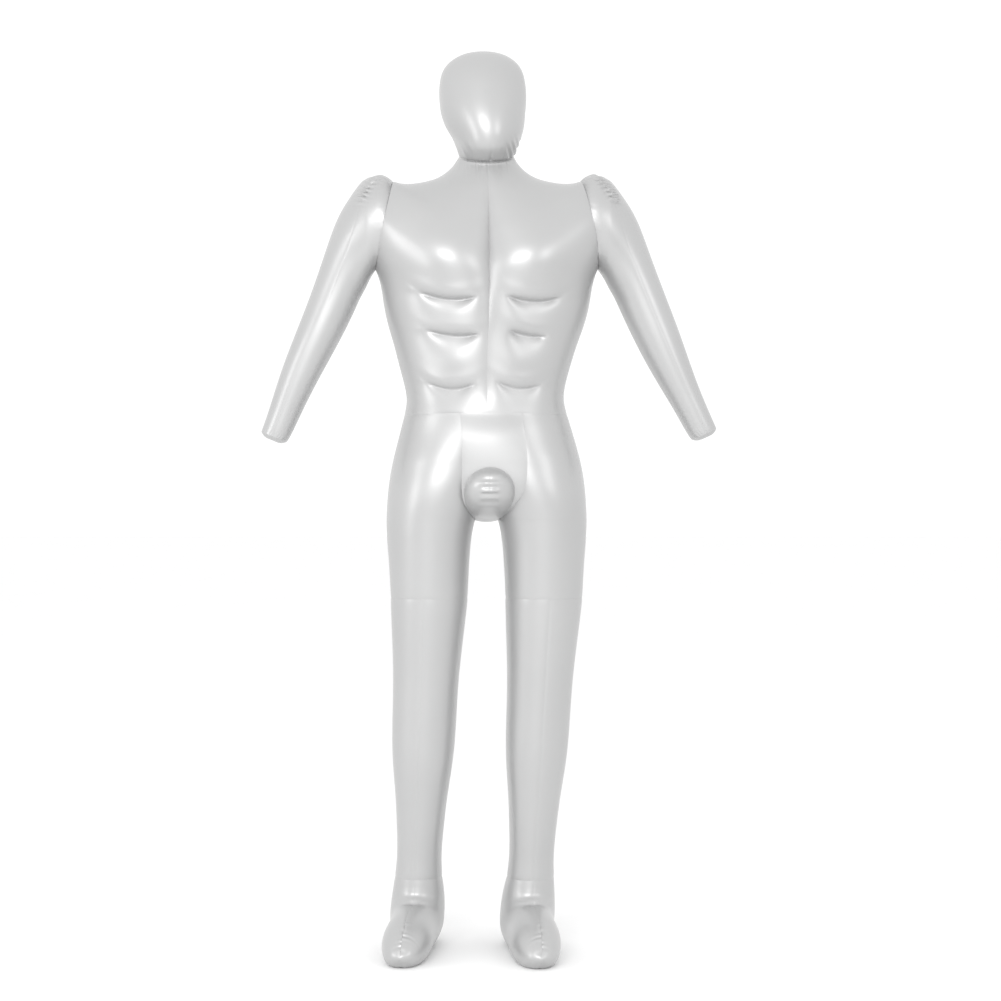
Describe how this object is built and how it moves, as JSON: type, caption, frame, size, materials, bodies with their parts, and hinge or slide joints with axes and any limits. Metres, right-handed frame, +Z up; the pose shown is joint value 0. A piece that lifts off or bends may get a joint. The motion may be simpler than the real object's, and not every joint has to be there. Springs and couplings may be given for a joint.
{
  "type": "inflatable body mannequin",
  "caption": "Inflatable full-body display mannequin: welded film panels form head, torso, arms, legs and feet, with an inflation valve in the back.",
  "frame": {"origin": "on the floor, below the middle of the figure's bounding box", "axes": "+Z up; the figure faces -Y; +X is its own left side"},
  "size_m": [0.8491, 0.2957, 1.666],
  "materials": {
    "film": "pearl silver, satin gloss",
    "valve": "cloudy clear, soft"
  },
  "bodies": {
    "figure": {"torso_front_right": "film", "torso_front_left": "film", "torso_back_right": "film", "torso_back_left": "film", "thigh_front_right": "film", "thigh_front_left": "film", "thigh_back_right": "film", "thigh_back_left": "film", "crotch_gusset": "film", "pouch_right": "film", "pouch_left": "film", "shin_inner_right": "film", "foot_inner_right": "film", "shin_outer_right": "film", "foot_outer_right": "film", "sole_right": "film", "shin_inner_left": "film", "foot_inner_left": "film", "shin_outer_left": "film", "foot_outer_left": "film", "sole_left": "film", "valve_flange": "valve"},
    "head": {"head_front": "film", "head_back": "film"},
    "right_arm": {"arm_outer_right": "film", "arm_inner_right": "film", "wrist_disc_right": "film"},
    "left_arm": {"arm_outer_left": "film", "arm_inner_left": "film", "wrist_disc_left": "film"},
    "valve_stem": {"valve_stem": "valve"},
    "valve_plug": {"valve_plug": "valve"},
    "check_flap": {"check_flap": "valve"}
  },
  "joints": [
    {"name": "neck_nod", "type": "hinge", "parent": "figure", "child": "head", "pos_m": [0, 0.024, 1.473], "axis": [1, 0, 0], "range_deg": [-6, 10], "stiffness_Nm_per_rad": 4},
    {"name": "right_shoulder", "type": "hinge", "parent": "figure", "child": "right_arm", "pos_m": [-0.1965, 0.024, 1.342], "axis": [0, 1, 0], "range_deg": [-4, 12], "stiffness_Nm_per_rad": 6},
    {"name": "left_shoulder", "type": "hinge", "parent": "figure", "child": "left_arm", "pos_m": [0.1965, 0.024, 1.342], "axis": [0, -1, 0], "range_deg": [-4, 12], "stiffness_Nm_per_rad": 6},
    {"name": "valve_stem_slide", "type": "slide", "parent": "figure", "child": "valve_stem", "axis": [0.1544, 0.988, 0], "range_m": [0, 0.01]},
    {"name": "valve_plug_hinge", "type": "hinge", "parent": "valve_stem", "child": "valve_plug", "pos_m": [0.05644, 0.11214, 1.078], "axis": [0, 0, -1], "range_deg": [0, 150]},
    {"name": "check_flap_hinge", "type": "hinge", "parent": "valve_stem", "child": "check_flap", "pos_m": [0.04593, 0.0941, 1.078], "axis": [0, 0, 1], "range_deg": [0, 50], "stiffness_Nm_per_rad": 0.002}
  ]
}
